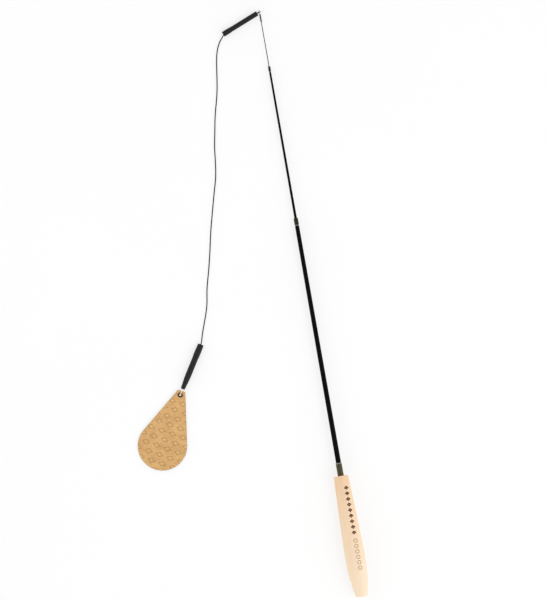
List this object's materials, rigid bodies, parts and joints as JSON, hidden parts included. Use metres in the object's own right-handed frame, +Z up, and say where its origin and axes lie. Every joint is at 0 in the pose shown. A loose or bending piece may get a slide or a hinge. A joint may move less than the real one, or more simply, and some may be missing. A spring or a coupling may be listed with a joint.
{
  "type": "telescopic cat teaser wand",
  "caption": "Telescopic cat teaser wand: turned wooden handle, black tapered rod sections that slide into each other, and a cord with soft sleeves that carries a tan leather drop.",
  "frame": {"origin": "middle of the base of the object as it lies extended on a flat surface, measured without the free cord", "axes": "+Y along the rod from the butt of the handle to the tip, +Z up from the surface, +X to the side away from the lure"},
  "size_m": [0.276, 0.7998, 0.0271],
  "materials": {
    "wood": "fine-sanded pale beech, unvarnished",
    "collar_metal": "dark olive-bronze plating, half matt",
    "trim_metal": "light satin metal",
    "rod_black": "black satin lacquer",
    "ferrule_dark": "dark olive-black, satin",
    "whip_fibre": "dark grey glass fibre",
    "black_plastic": "black, matt",
    "bright_wire": "bright nickel plating",
    "cord_black": "round woven cord",
    "sleeve_rubber": "soft black tube, matt",
    "leather_tan": "smooth tan leather with a dark painted edge",
    "eyelet_antique": "antique brown plating"
  },
  "bodies": {
    "handle_body": {"handle": "wood", "collar": "collar_metal", "collar_trim_ring": "trim_metal", "outer_tube": "rod_black", "tube_end_plug": "black_plastic", "mouth_ferrule": "ferrule_dark", "mouth_trim_ring": "trim_metal"},
    "mid_body": {"mid_tube": "rod_black", "stop_bush": "black_plastic", "tip_ferrule": "ferrule_dark", "tip_trim_ring": "trim_metal"},
    "tip_body": {"tip_whip": "whip_fibre", "tip_stop_bead": "black_plastic", "tip_cap": "black_plastic", "tip_eye": "bright_wire"},
    "line_body": {"upper_loop": "cord_black", "upper_crimp": "bright_wire", "upper_sleeve": "sleeve_rubber", "cord": "cord_black", "lower_crimp": "bright_wire", "lower_sleeve": "sleeve_rubber", "lower_loop": "bright_wire"},
    "drop_body": {"leather_drop": "leather_tan", "eyelet": "eyelet_antique", "eyelet_washer": "eyelet_antique"}
  },
  "joints": [
    {"name": "rod_slide", "type": "slide", "parent": "handle_body", "child": "mid_body", "axis": [0, 0.9999, -0.0136], "range_m": [-0.198, 0]},
    {"name": "tip_slide", "type": "slide", "parent": "mid_body", "child": "tip_body", "axis": [0, 0.9999, -0.0136], "range_m": [-0.06, 0]},
    {"name": "line_swing", "type": "hinge", "parent": "tip_body", "child": "line_body", "pos_m": [0.12448, 0.39781, 0.0034], "axis": [0, 0, 1], "range_deg": [-230, 8]},
    {"name": "drop_swing", "type": "hinge", "parent": "line_body", "child": "drop_body", "pos_m": [-0.06942, -0.09119, 0.00225], "axis": [-0.0058, -0.0103, 0.9999], "range_deg": [-70, 70]}
  ]
}
